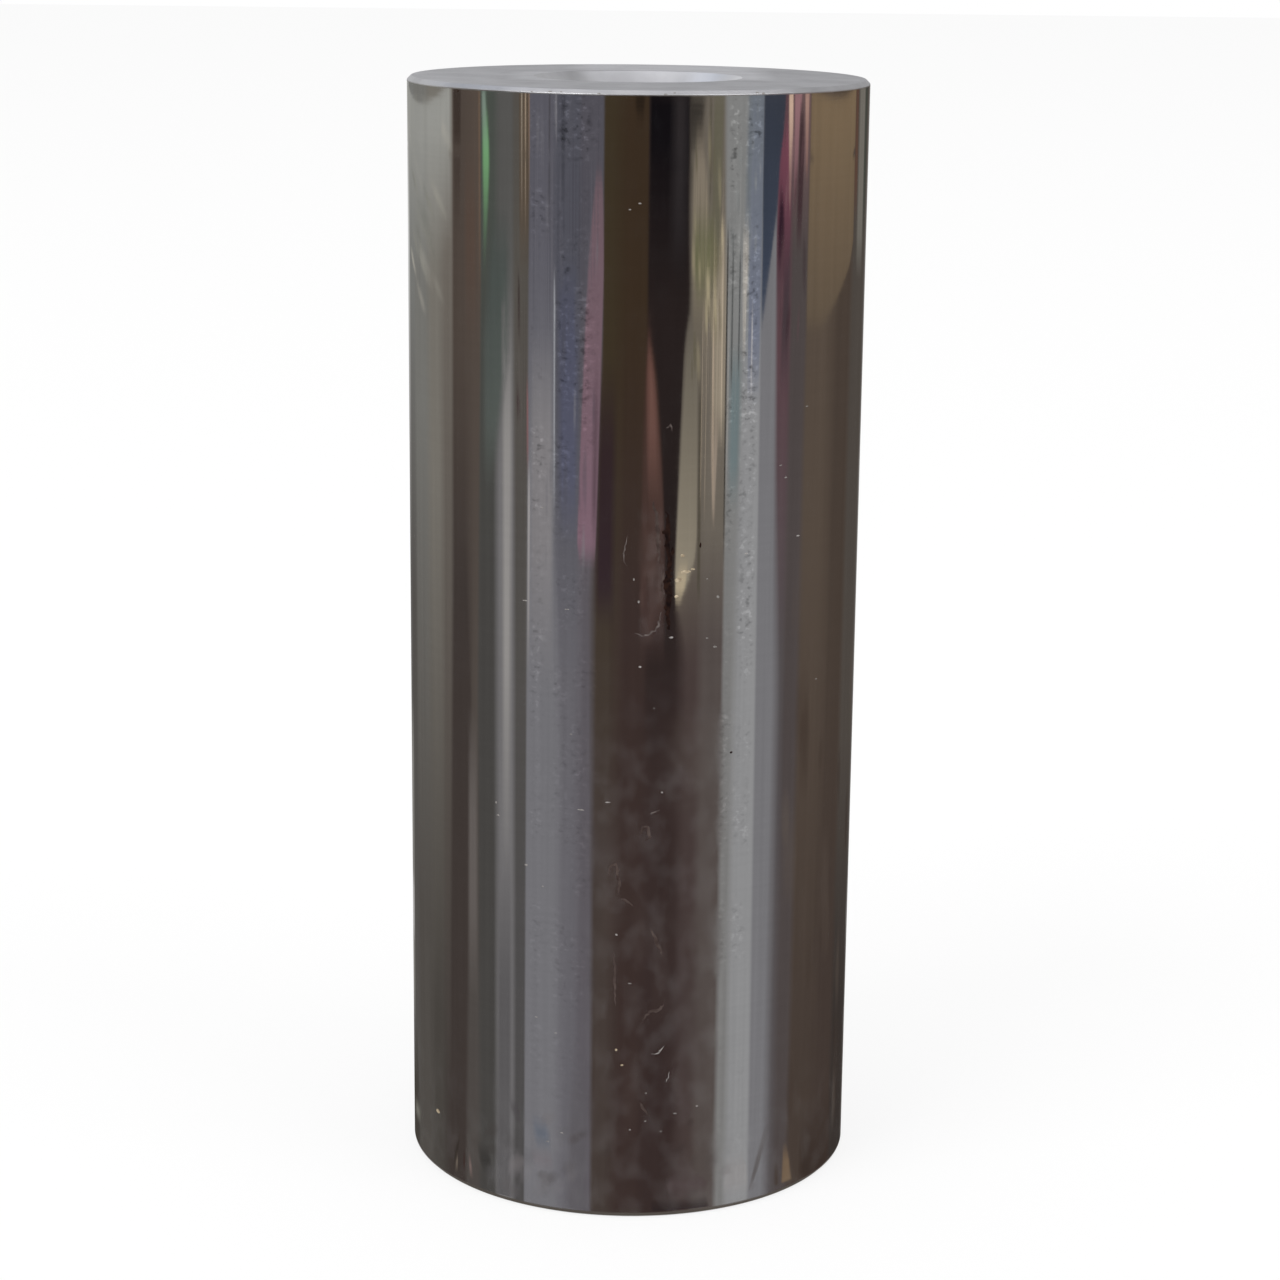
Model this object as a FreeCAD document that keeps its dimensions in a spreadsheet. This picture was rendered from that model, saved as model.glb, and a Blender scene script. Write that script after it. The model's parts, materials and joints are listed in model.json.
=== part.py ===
"""Piston pin (wrist pin) for a large diesel piston, standing on one end. Millimetres.

It is one turned, hardened and ground steel tube. The outside is the running surface:
its middle turns in the connecting rod's small end and its two ends in the piston's
bosses. The flat ends seat against the snap rings, and a plain bore runs right through.
Each outer edge is chamfered and eased, so that the pin enters its bosses without
scraping them, and each mouth of the bore is chamfered too.

The origin is on the axis at the lower end face, and +Z runs up the axis.
"""
import FreeCAD, Part
import math
import os

import Sketcher

PARTS_FOLDER = "parts"
PIN_LABEL = "piston_pin"

# Driving sizes: alias, value, what it measures.
SIZES = [
    ("pin_diameter", 40.0, "ground outside diameter"),
    ("pin_length", 97.5, "length over the two end faces"),
    ("bore_diameter", 16.0, "bore, which runs right through"),
    ("outer_chamfer", 0.35, "leg of the 45 degree chamfer on each outer edge"),
    ("outer_blend", 0.15, "radius that eases both edges of an outer chamfer"),
    ("bore_chamfer", 1.0, "leg of the 45 degree chamfer at each mouth of the bore"),
    ("bore_blend", 0.15, "radius that eases both edges of a bore chamfer"),
]

# A chamfer turns by 45 degrees at each of its edges, and a blend takes up half of
# that on either side: it starts this many radii before the sharp edge.
BLEND_REACH = math.tan(math.radians(22.5))

# A sketch constraint names a point by its line and one of the line's ends.
START, END = 1, 2
ORIGIN = (-1, START)
X_AXIS = -1


def add_size_sheet(doc):
    """The spreadsheet of driving sizes, with each value's meaning beside it."""
    sheet = doc.addObject("Spreadsheet::Sheet", "Sizes")
    for row, (alias, value, meaning) in enumerate(SIZES, start=1):
        sheet.set(f"A{row}", str(value))
        sheet.setAlias(f"A{row}", alias)
        sheet.set(f"B{row}", meaning)
    doc.recompute()
    return sheet


def base_plane(body, role):
    """One of the body's own origin planes, found by its role."""
    return next(f for f in body.Origin.OriginFeatures if f.Role == role)


def wall_corners(sheet):
    """The wall's four square corners, anticlockwise, with their chamfers and blends."""
    bore = sheet.bore_diameter / 2
    outside = sheet.pin_diameter / 2
    top = sheet.pin_length
    bore_work = ("bore_chamfer", "bore_blend")
    outer_work = ("outer_chamfer", "outer_blend")
    return [
        (FreeCAD.Vector(bore, 0, 0), *bore_work),
        (FreeCAD.Vector(outside, 0, 0), *outer_work),
        (FreeCAD.Vector(outside, top, 0), *outer_work),
        (FreeCAD.Vector(bore, top, 0), *bore_work),
    ]


def unit(vector):
    """The direction of a vector, one long."""
    return vector / vector.Length


def add_blend(sketch, edge, arriving, leaving, radius):
    """An arc that eases a sharp edge. Returns it with the points where it starts and ends."""
    start = edge - arriving * radius * BLEND_REACH
    end = edge + leaving * radius * BLEND_REACH
    inward = FreeCAD.Vector(-arriving.y, arriving.x, 0)
    centre = start + inward * radius
    angles = [math.atan2(point.y - centre.y, point.x - centre.x) for point in (start, end)]
    circle = Part.Circle(centre, FreeCAD.Vector(0, 0, 1), radius)
    arc = sketch.addGeometry(Part.ArcOfCircle(circle, *angles))
    return arc, start, end


def add_wall_section(body, sheet):
    """The tube wall's half section: bore, outside and end faces, with worked corners."""
    sketch = body.newObject("Sketcher::SketchObject", "wall_section")
    sketch.AttachmentSupport = [(base_plane(body, "XZ_Plane"), "")]
    sketch.MapMode = "FlatFace"
    corners = wall_corners(sheet)

    # Each square corner becomes a blend, a chamfer and a second blend.
    worked = []
    for number, (corner, chamfer_size, blend_size) in enumerate(corners):
        before = corners[number - 1][0]
        after = corners[(number + 1) % len(corners)][0]
        arriving, leaving = unit(corner - before), unit(after - corner)
        slope = unit(arriving + leaving)
        leg = getattr(sheet, chamfer_size)
        radius = getattr(sheet, blend_size)
        near = add_blend(sketch, corner - arriving * leg, arriving, slope, radius)
        far = add_blend(sketch, corner + leaving * leg, slope, leaving, radius)
        chamfer = sketch.addGeometry(Part.LineSegment(near[2], far[1]))
        worked.append((near, chamfer, far))

    # A straight side runs from the end of one worked corner to the start of the next.
    sides = []
    for number, (_, _, far) in enumerate(worked):
        following = worked[(number + 1) % len(worked)][0]
        sides.append(sketch.addGeometry(Part.LineSegment(far[2], following[1])))
    lower_face, outside_wall, upper_face, bore_wall = sides
    for face in (lower_face, upper_face):
        sketch.addConstraint(Sketcher.Constraint("Horizontal", face))
    for wall in (outside_wall, bore_wall):
        sketch.addConstraint(Sketcher.Constraint("Vertical", wall))

    for number, (near, chamfer, far) in enumerate(worked):
        _, chamfer_size, blend_size = corners[number]
        radius = getattr(sheet, blend_size)
        chain = [sides[number - 1], near[0], chamfer, far[0], sides[number]]
        for line, following in zip(chain, chain[1:]):
            smooth = Sketcher.Constraint("Tangent", line, END, following, START)
            sketch.addConstraint(smooth)
        for arc in (near[0], far[0]):
            drive(sketch, ("Radius", arc), radius, f"Sizes.{blend_size}")
        formula = f"Sizes.{chamfer_size} + Sizes.{blend_size} * tan(22.5 deg)"
        leg = getattr(sheet, chamfer_size) + radius * BLEND_REACH
        first, second = (sides[number - 1], END), (sides[number], START)
        across = far[2] - near[1]
        for direction, distance in (("DistanceX", across.x), ("DistanceY", across.y)):
            pair = (*first, *second) if distance > 0 else (*second, *first)
            drive(sketch, (direction, *pair), leg, formula)

    on_base = Sketcher.Constraint("PointOnObject", lower_face, START, X_AXIS)
    sketch.addConstraint(on_base)
    outside_span = ("DistanceX", *ORIGIN, outside_wall, START)
    drive(sketch, outside_span, sheet.pin_diameter / 2, "Sizes.pin_diameter / 2")
    bore_span = ("DistanceX", *ORIGIN, bore_wall, START)
    drive(sketch, bore_span, sheet.bore_diameter / 2, "Sizes.bore_diameter / 2")
    length_span = ("DistanceY", lower_face, START, upper_face, END)
    drive(sketch, length_span, sheet.pin_length, "Sizes.pin_length")
    return sketch


def drive(sketch, what, value, formula):
    """Holds one size of the sketch to a formula of the sheet."""
    index = sketch.addConstraint(Sketcher.Constraint(*what, value))
    sketch.setExpression(f"Constraints[{index}]", formula)


def add_pin(doc, sheet):
    """The pin: its wall section turned once round the Z axis."""
    body = doc.addObject("PartDesign::Body", "pin")
    body.Label = PIN_LABEL
    section = add_wall_section(body, sheet)
    tube = body.newObject("PartDesign::Revolution", "tube")
    tube.Profile = section
    tube.ReferenceAxis = (section, ["V_Axis"])
    tube.Angle = 360
    body.Tip = tube
    doc.recompute()
    return body


def check(doc, bodies):
    """Stops the build if any object failed or any piece isn't a valid solid."""
    for item in doc.Objects:
        if {"Invalid", "Error"} & set(item.State):
            raise RuntimeError(f"{item.Name} failed: {item.State}")
    for body in bodies:
        if body.Shape.isNull() or not body.Shape.isValid() or len(body.Shape.Solids) != 1:
            raise RuntimeError(f"{body.Label} is not one valid solid")


def main():
    doc = FreeCAD.newDocument("piston_pin")
    sheet = add_size_sheet(doc)
    bodies = [add_pin(doc, sheet)]
    check(doc, bodies)
    os.makedirs(PARTS_FOLDER, exist_ok=True)
    for body in bodies:
        body.Shape.exportStep(os.path.join(PARTS_FOLDER, f"{body.Label}.step"))


main()
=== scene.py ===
"""Looks of the ground steel piston pin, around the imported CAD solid, in metres. The tables of
what lies on the pin or is mirrored in it are in mm and degrees.

The pin is one turned part with a mirror-ground outside, satin end faces and a plain
bore. Most of what a polished pin shows is the workshop round it, so the scene stands a
ring of coloured cards there, which only reflections see. Each card is given by where
its image lies on the pin: an angle round the axis and a height. The mirror law carries
that image out to the ring of cards or down to the bench.
"""

import json
import math
import random

import bmesh
import bpy
from mathutils import Matrix, Vector


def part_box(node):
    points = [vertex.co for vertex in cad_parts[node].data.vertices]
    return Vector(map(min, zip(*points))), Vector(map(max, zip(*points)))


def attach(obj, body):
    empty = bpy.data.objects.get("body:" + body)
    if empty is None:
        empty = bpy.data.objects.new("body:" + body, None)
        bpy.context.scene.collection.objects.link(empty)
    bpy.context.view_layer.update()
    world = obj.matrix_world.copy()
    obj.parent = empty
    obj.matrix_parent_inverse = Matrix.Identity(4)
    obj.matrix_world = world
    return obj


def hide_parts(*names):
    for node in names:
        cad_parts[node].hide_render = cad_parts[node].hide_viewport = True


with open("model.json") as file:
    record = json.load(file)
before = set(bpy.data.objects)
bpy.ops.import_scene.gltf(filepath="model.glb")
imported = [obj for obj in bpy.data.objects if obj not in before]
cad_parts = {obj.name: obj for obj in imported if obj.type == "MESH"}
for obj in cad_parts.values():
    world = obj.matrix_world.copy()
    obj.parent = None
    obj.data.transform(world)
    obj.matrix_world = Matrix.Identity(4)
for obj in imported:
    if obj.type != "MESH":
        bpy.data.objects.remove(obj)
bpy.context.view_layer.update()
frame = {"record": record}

MM = 0.001
WHITE = (1.0, 1.0, 1.0, 1.0)

# The pin's own sizes, from the frame where it holds them.
PIN_NODE = "piston_pin"
PIN_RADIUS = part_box(PIN_NODE)[1].x
PIN_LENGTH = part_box(PIN_NODE)[1].z
MOUNTS = {mount["name"]: mount for mount in frame["record"]["mounts"]}
BORE_RADIUS = MOUNTS["through_bore"]["dims"]["r_mm"] * MM
OUTER_CHAMFER, OUTER_BLEND = 0.35 * MM, 0.15 * MM
BORE_CHAMFER, BORE_BLEND = 1.0 * MM, 0.15 * MM

# The camera stands in front of the pin, a little above its top, and looks down.
CAMERA_PLACE = Vector((0.48 * MM, -264.3 * MM, PIN_LENGTH + 14.62 * MM))
CAMERA_YAW, CAMERA_DOWN, CAMERA_ROLL = 0.0361, 13.7765, 0.6278
CAMERA_LENS, SENSOR_WIDTH = 84.63, 36.0
CLIP_NEAR, CLIP_FAR = 0.01, 20

# Steel reflects this share of light that falls straight on it.
STEEL = (0.56, 0.56, 0.57)


def add_camera():
    """A plain camera, placed and aimed by the angles that fit the photograph."""
    yaw, down, roll = map(math.radians, (CAMERA_YAW, CAMERA_DOWN, CAMERA_ROLL))
    ahead = Vector((math.sin(yaw) * math.cos(down), math.cos(yaw) * math.cos(down), -math.sin(down)))
    level = Vector((math.cos(yaw), -math.sin(yaw), 0))
    upright = level.cross(ahead)
    right = level * math.cos(roll) + upright * math.sin(roll)
    up = upright * math.cos(roll) - level * math.sin(roll)
    data = bpy.data.cameras.new("camera")
    data.lens, data.sensor_width = CAMERA_LENS, SENSOR_WIDTH
    data.clip_start, data.clip_end = CLIP_NEAR, CLIP_FAR
    camera = bpy.data.objects.new("camera", data)
    turn = Matrix((right, up, -ahead)).transposed()
    camera.matrix_world = Matrix.Translation(CAMERA_PLACE) @ turn.to_4x4()
    bpy.context.scene.collection.objects.link(camera)
    bpy.context.scene.camera = camera


def linear(colour):
    """Scene light for a colour written as 0 to 255 in a picture."""
    shares = [part / 255 for part in colour]
    return [s / 12.92 if s < 0.04045 else ((s + 0.055) / 1.055) ** 2.4 for s in shares]


# Pin mesh

SEGMENTS = 360
ARC_STEPS = 5
WALL_RINGS = 40
FACE_RINGS = 6
GUARD = 0.04 * MM
EIGHTH_TURN = math.radians(45)
BLEND_REACH = math.tan(EIGHTH_TURN / 2)
GROUND, TURNED, BORED, FIRST_MARK = range(4)
DEGREE_MM = math.radians(1) * PIN_RADIUS / MM
CHAMFER_START = (PIN_LENGTH - OUTER_CHAMFER) / MM
MARKS_SEED, CARDS_SEED = 41, 17
SPECK_RISE, SPECK_ROOT = 0.02 * MM, 0.004 * MM
SPECK_CORNERS, SPECK_LEAN, SPECK_REACH = 6, 0.4, (0.75, 1.1)
STROKE_RISE = 0.012 * MM
STROKE_STEP, STROKE_SWAY, STROKE_END, STROKE_REACH = 0.25, 0.1, 0.25, (0.6, 1.1)

# The flat map: cells as left side, foot, width and height, then the two end faces' middles.
WALL_CELL = (0.01, 0.01, 0.98, 0.6)
BORE_CELL = (0.75, 0.63, 0.24, 0.36)
MARKS_CELL = (0.704, 0.63, 0.036, 0.36)
MARK_FILL = 5 / 6
FACE_MIDDLES, FACE_SPREAD = ((0.18, 0.81), (0.53, 0.81)), 0.165


def new_object(name, mesh, *materials):
    """A finished mesh as an object in the scene."""
    data = bpy.data.meshes.new(name)
    mesh.to_mesh(data)
    mesh.free()
    for material in materials:
        data.materials.append(material)
    thing = bpy.data.objects.new(name, data)
    bpy.context.scene.collection.objects.link(thing)
    return thing


def turns(count):
    """Angles of points spread evenly round a circle."""
    return [2 * math.pi * step / count for step in range(count)]


def blend_arc(edge, arriving, leaving, radius):
    """Points of the arc that eases one edge of the section, with a guard point each side."""
    start = edge - arriving * radius * BLEND_REACH
    centre = start + Vector((-arriving.y, arriving.x)) * radius
    spoke = start - centre
    arc = []
    for step in range(ARC_STEPS + 1):
        turned = Matrix.Rotation(EIGHTH_TURN * step / ARC_STEPS, 2) @ spoke
        arc.append(centre + turned)
    return [start - arriving * GUARD, *arc, arc[-1] + leaving * GUARD]


def section():
    """The wall's closed section as (radius, height, finish of the band that starts there)."""
    right, up = Vector((1, 0)), Vector((0, 1))
    corners = [
        (Vector((BORE_RADIUS, 0)), -up, right, BORE_CHAMFER, BORE_BLEND),
        (Vector((PIN_RADIUS, 0)), right, up, OUTER_CHAMFER, OUTER_BLEND),
        (Vector((PIN_RADIUS, PIN_LENGTH)), up, -right, OUTER_CHAMFER, OUTER_BLEND),
        (Vector((BORE_RADIUS, PIN_LENGTH)), -right, -up, BORE_CHAMFER, BORE_BLEND),
    ]
    sides = [(TURNED, FACE_RINGS), (GROUND, WALL_RINGS), (TURNED, FACE_RINGS), (BORED, WALL_RINGS)]
    worked = []
    for corner, arriving, leaving, chamfer, blend in corners:
        slope = (arriving + leaving).normalized()
        near = blend_arc(corner - arriving * chamfer, arriving, slope, blend)
        far = blend_arc(corner + leaving * chamfer, slope, leaving, blend)
        worked.append(near + far)
    points = []
    for number, (finish, rings) in enumerate(sides):
        corner, following = worked[number], worked[(number + 1) % len(worked)]
        points += [(point, TURNED) for point in corner[:-1]]
        start, end = corner[-1], following[0]
        points += [(start.lerp(end, ring / rings), finish) for ring in range(rings)]
    return points


def add_pin(finishes):
    """The pin's mesh: its section carried round the axis, with a map of its own."""
    points = section()
    mesh = bmesh.new()
    bake_map = mesh.loops.layers.uv.new("OFBake")
    rings = []
    for turn in turns(SEGMENTS):
        across, along = math.cos(turn), math.sin(turn)
        rings.append([mesh.verts.new((p.x * across, p.x * along, p.y)) for p, _ in points])
    for segment in range(SEGMENTS):
        here, there = rings[segment], rings[(segment + 1) % SEGMENTS]
        for index, (_, finish) in enumerate(points):
            after = (index + 1) % len(points)
            face = mesh.faces.new((here[index], there[index], there[after], here[after]))
            face.material_index = finish
            face.smooth = True
            for loop, step in zip(face.loops, (0, 1, 1, 0)):
                loop[bake_map].uv = flat_place(finish, loop.vert.co, (segment + step) / SEGMENTS)
    add_marks(mesh, bake_map)
    return new_object("steel_pin", mesh, *finishes)


# Kinds of mark: the finish's name, its darkest and lightest colour, and how fine it is, per metre.
MARKS = dict(
    film=("dry_film", (0.042, 0.029, 0.026), (0.08, 0.06, 0.054), 1500),
    haze=("dry_haze", (0.065, 0.05, 0.046), (0.13, 0.11, 0.104), 2500),
    dust=("dust", (0.17, 0.16, 0.15), (0.32, 0.3, 0.29), 5000),
    gold=("gold_dust", (0.24, 0.19, 0.13), (0.46, 0.38, 0.27), 4000),
    tar=("dark_residue", (0.008, 0.005, 0.005), (0.024, 0.012, 0.009), 2600),
)

# Specks: angle, height, width and tallness in mm, then the kind where it isn't dust.
SPECKS = [
    (-20.8, 97.25, 0.5, 0.12), (6.4, 97.2, 0.4, 0.12), (-25.4, 97.2, 0.3, 0.1), (-18.1, 97.25, 0.3, 0.1),
    (-9, 97.2, 0.35, 0.1), (8.5, 97.3, 0.3, 0.12), (29, 97.25, 0.5, 0.14), (30.6, 97.2, 0.4, 0.16),
    (-47.8, 96.9, 0.3, 0.18, "tar"), (-1.6, 88, 0.3, 0.12), (0.7, 88.5, 0.36, 0.13),
    (-22.5, 63.1, 0.35, 0.1), (44.2, 60.1, 0.5, 0.18), (37.9, 66.4, 0.45, 0.12), (39.6, 65.3, 0.4, 0.2),
    (28.2, 59.2, 0.4, 0.16), (20.9, 55.7, 0.36, 0.3), (18, 57.3, 0.2, 0.12), (46.3, 71.1, 0.5, 0.1),
    (-27, 55, 0.6, 0.13), (-16, 54.6, 0.6, 0.13), (9.3, 52.4, 0.45, 0.22), (20.3, 51.4, 0.45, 0.22),
    (18.2, 52.2, 0.3, 0.16), (1.9, 49.9, 0.3, 0.25), (52.7, 47, 0.4, 0.1), (5.4, 46.3, 0.2, 0.1),
    (-34.8, 35.7, 0.45, 0.16), (-35.4, 36.8, 0.25, 0.3), (-5.5, 38, 0.7, 0.14), (-12.2, 37.2, 0.8, 0.14),
    (-14.8, 43.8, 0.3, 0.1), (7.6, 38.9, 0.25, 0.2), (-3, 15.7, 0.32, 0.26, "gold"),
    (-1.5, 14.3, 0.4, 0.22, "gold"), (-59.1, 5.8, 0.9, 0.5, "gold"), (7.9, 15.6, 0.3, 0.15),
    (11.9, 9.7, 0.5, 0.14), (4.5, 11.7, 0.2, 0.12), (17.6, 10.2, 0.3, 0.14), (4.4, 9.1, 0.3, 0.1),
    (8.4, 8.1, 0.26, 0.12), (0.6, 8.3, 0.2, 0.16), (25.1, 42, 0.35, 0.25, "tar"), (-3.2, 26.2, 0.3, 0.25),
    (0.2, 21.8, 0.4, 0.1), (-22, 30, 0.3, 0.12), (-26.5, 31.7, 0.4, 0.2), (-23.6, 18, 0.4, 0.1),
    (-18.4, 16.8, 0.4, 0.1), (-20.4, 6.6, 0.4, 0.14), (-16.6, 7.6, 0.4, 0.12), (0.2, 57.4, 0.2, 0.34),
    (1.4, 55.5, 0.22, 0.3), (7.2, 61.4, 0.5, 0.5, "tar"), (9.4, 59.8, 0.4, 0.9, "tar"),
    (7.3, 57.2, 0.4, 0.5, "tar"), (16.2, 60.2, 0.25, 0.6, "tar"), (12.6, 58, 1.2, 0.4, "gold"),
    (10.9, 57.3, 0.9, 0.5, "gold"), (11.8, 59.4, 0.5, 0.4, "gold"), (10.5, 55.9, 0.5, 0.4, "gold"),
    (14.4, 58.2, 0.6, 0.24, "gold"),
]

# Dry smears, each a low ribbon: what it is, its width in mm, then points of (angle, height).
STROKES = [
    ("haze", 0.26, (0.4, 52.8), (1.8, 52.6), (3.2, 52.6), (4.8, 52.9), (6.1, 53.5), (6.8, 54.6)),
    ("haze", 0.16, (-1.2, 61), (-2, 60.4), (-2.1, 59.2), (-1.8, 58.6)),
    ("film", 0.3, (6.9, 55.2), (7.2, 57), (7, 58.6)),
    ("film", 0.5, (4.4, 64), (5.4, 62.8), (5.9, 60.8), (6.2, 58.8)),
    ("haze", 0.24, (7.4, 70.2), (8.4, 70.4), (9, 69.9)),
    ("tar", 0.62, (7.8, 63.2), (8.5, 61.8), (8, 60.6), (8.7, 59.2), (8.3, 58)),
    ("tar", 0.9, (8.2, 60.2), (8.7, 58.6), (8.2, 57.2), (8.7, 56), (8.4, 54.4), (8.7, 53)),
    ("film", 0.5, (2.2, 35.1), (3.1, 35.9), (4.6, 35.7), (4.9, 35), (3.8, 34.6)),
    ("haze", 0.2, (4.6, 37), (5.6, 37.2), (6.8, 37.3)),
    ("film", 0.4, (-5.4, 31.6), (-4.6, 32.3), (-3.4, 32.6), (-2.8, 31.2), (-2.6, 29.6)),
    ("film", 0.34, (-2.2, 29.4), (-0.4, 29.2), (0.6, 28.8)),
    ("film", 0.3, (-3.6, 24.6), (-3.4, 22), (-3.3, 19.8)),
    ("film", 0.45, (5.4, 26.6), (6.8, 25.6), (8, 24.4)),
    ("film", 0.45, (3.4, 18.4), (5.2, 19.2), (7.4, 19.3), (9, 20)),
    ("dust", 0.16, (6, 15.3), (7.4, 15.3), (8.6, 15.9)),
    ("dust", 0.14, (9.4, 12.6), (10.2, 13.1), (10.6, 13.6)),
    ("film", 0.34, (3.2, 10.9), (4.2, 10.1), (5, 9.6)),
]


def add_speck(mesh, angle, height, wide, tall):
    """A low flake that stands a little proud of the steel. Returns its faces."""
    lean = random.uniform(-SPECK_LEAN, SPECK_LEAN)
    middle = mesh.verts.new(off_steel(angle, height, SPECK_RISE))
    rim = []
    for turn in turns(SPECK_CORNERS):
        reach = random.uniform(*SPECK_REACH) / 2
        across, up = wide * math.cos(turn + lean) * reach, tall * math.sin(turn + lean) * reach
        place = off_steel(angle + across / DEGREE_MM, height + up, -SPECK_ROOT)
        rim.append(mesh.verts.new(place))
    return [mesh.faces.new((middle, *pair)) for pair in zip(rim, rim[1:] + rim[:1])]


def add_stroke(mesh, width, points):
    """A low ribbon along a line of points, thin at its ends. Returns its faces."""
    line = []
    for here, there in zip(points, points[1:]):
        span = math.hypot((there[0] - here[0]) * DEGREE_MM, there[1] - here[1])
        steps = max(1, round(span / STROKE_STEP))
        line += [blend(here, there, step / steps) for step in range(steps)]
    line.append(points[-1])
    beads = []
    for number, (angle, height) in enumerate(line):
        before, after = line[max(0, number - 1)], line[min(len(line) - 1, number + 1)]
        along = Vector(((after[0] - before[0]) * DEGREE_MM, after[1] - before[1])).normalized()
        swell = blend(STROKE_END, 1, math.sin(math.pi * number / (len(line) - 1)))
        side = Vector((-along.y, along.x)) * width * swell * random.uniform(*STROKE_REACH) / 2
        angle += random.uniform(-STROKE_SWAY, STROKE_SWAY) / DEGREE_MM
        height += random.uniform(-STROKE_SWAY, STROKE_SWAY)
        bead = []
        for sign, rise in ((-1, -SPECK_ROOT), (0, STROKE_RISE), (1, -SPECK_ROOT)):
            place = (angle + sign * side.x / DEGREE_MM, height + sign * side.y)
            bead.append(mesh.verts.new(off_steel(*place, rise)))
        beads.append(bead)
    faces = []
    for here, there in zip(beads, beads[1:]):
        for index in range(2):
            face = mesh.faces.new((here[index], there[index], there[index + 1], here[index + 1]))
            face.smooth = True
            faces.append(face)
    return faces


def off_steel(angle, height, rise):
    """A point at an angle in degrees and a height in mm, this far outside the ground face."""
    turn = math.radians(angle)
    radius = PIN_RADIUS + rise
    if height > CHAMFER_START:
        radius -= (height - CHAMFER_START) * MM
    return Vector((radius * math.sin(turn), -radius * math.cos(turn), height * MM))


def add_marks(mesh, bake_map):
    """Specks and strokes, each with a cell of its own in a spare strip of the flat map."""
    random.seed(MARKS_SEED)
    marks = []
    for angle, height, wide, tall, *kind in SPECKS:
        faces = add_speck(mesh, angle, height, wide, tall)
        marks.append((kind[0] if kind else "dust", faces))
    for kind, width, *points in STROKES:
        marks.append((kind, add_stroke(mesh, width, points)))
    kinds = list(MARKS)
    for number, (kind, faces) in enumerate(marks):
        for index, face in enumerate(faces):
            face.material_index = FIRST_MARK + kinds.index(kind)
            for loop, (across, up) in zip(face.loops, ((0, 0), (1, 0), (1, 1), (0, 1))):
                column = (index + MARK_FILL * across) / len(faces)
                row = (number + MARK_FILL * up) / len(marks)
                loop[bake_map].uv = in_cell(MARKS_CELL, column, row)


def in_cell(cell, across, up):
    """A place in the flat map, from shares of a cell's width and height."""
    left, foot, wide, tall = cell
    return left + wide * across, foot + tall * up


def flat_place(finish, point, turn):
    """Where a corner of one of the pin's own faces lies in the flat map."""
    height = point.z / PIN_LENGTH
    if finish == GROUND:
        return in_cell(WALL_CELL, turn, height)
    if finish == BORED:
        return in_cell(BORE_CELL, turn, height)
    across, up = FACE_MIDDLES[height > 0.5]
    angle, spread = 2 * math.pi * turn, FACE_SPREAD * math.hypot(point.x, point.y) / PIN_RADIUS
    return across + spread * math.cos(angle), up + spread * math.sin(angle)


# Finishes

class Tree:
    """The nodes of a material or the world, with a short call for each thing done with them."""

    def __init__(self, owner):
        owner.use_nodes = True
        self.nodes, self.links = owner.node_tree.nodes, owner.node_tree.links

    def feed(self, socket, value):
        """Gives a socket a number, a colour or another node's output."""
        if isinstance(value, bpy.types.NodeSocket):
            self.links.new(value, socket)
        else:
            socket.default_value = value

    def node(self, kind, inputs=(), **settings):
        """A new node with its settings, and its inputs fed by name or number."""
        node = self.nodes.new("ShaderNode" + kind)
        for name, value in settings.items():
            setattr(node, name, value)
        for name, value in dict(inputs).items():
            self.feed(node.inputs[name], value)
        return node

    def shade(self, inputs):
        """Feeds the material's own shader."""
        for name, value in inputs.items():
            self.feed(self.nodes["Principled BSDF"].inputs[name], value)

    def show(self, output, share, first, second):
        """Sends a mix of two shaders to an output."""
        parts = {"Fac": share, 1: first.outputs[0], 2: second.outputs[0]}
        self.feed(self.nodes[output].inputs["Surface"], self.node("MixShader", parts).outputs[0])

    def sum(self, operation, first, second):
        """One sum on two sockets or numbers."""
        return self.node("Math", {0: first, 1: second}, operation=operation).outputs[0]

    def times(self, total, *factors):
        """The product of sockets or numbers."""
        for factor in factors:
            total = self.sum("MULTIPLY", total, factor)
        return total

    def here(self):
        """The place in the pin's own frame."""
        return self.node("TexCoord").outputs["Object"]

    def noise(self, scale, detail=2.0, shift=(0, 0, 0), place=None):
        """Noise with a scale of its own along each axis, per metre unless a place is given."""
        stretch = {0: place or self.here(), 1: scale, 2: shift}
        stretched = self.node("VectorMath", stretch, operation="MULTIPLY_ADD").outputs[0]
        return self.node("TexNoise", {"Vector": stretched, "Scale": 1.0, "Detail": detail}).outputs["Fac"]

    def remap(self, value, low, high, to_low, to_high):
        """A value carried from one range to another and held there."""
        ranges = {"From Min": low, "From Max": high, "To Min": to_low, "To Max": to_high}
        return self.node("MapRange", {"Value": value, **ranges}).outputs["Result"]

    def within(self, value, low, high, soft):
        """1 between two limits, fading to 0 over a soft edge outside them."""
        rising = self.remap(value, low - soft, low, 0, 1)
        falling = self.remap(value, high, high + soft, 1, 0)
        return self.sum("MINIMUM", rising, falling)

    def bump(self, height, depth, under=None):
        """Bump from a height of 0 to 1 that stands for this depth in metres."""
        inputs = {"Strength": 1.0, "Distance": depth, "Height": height}
        if under:
            inputs["Normal"] = under
        return self.node("Bump", inputs).outputs["Normal"]

    def split_place(self):
        """The place in the pin's own frame, taken apart along its axes."""
        return self.node("SeparateXYZ", {0: self.here()}).outputs

    def round_place(self):
        """Angle round the pin in degrees, 0 at the front, and height in mm."""
        place = self.split_place()
        turn = self.sum("ARCTAN2", place["X"], self.times(place["Y"], -1.0))
        return self.times(turn, math.degrees(1)), self.times(place["Z"], 1 / MM)

    def scaled(self, colour, factor):
        """A colour times a changing factor."""
        return self.node("VectorMath", {0: colour, "Scale": factor}, operation="SCALE").outputs[0]


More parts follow.
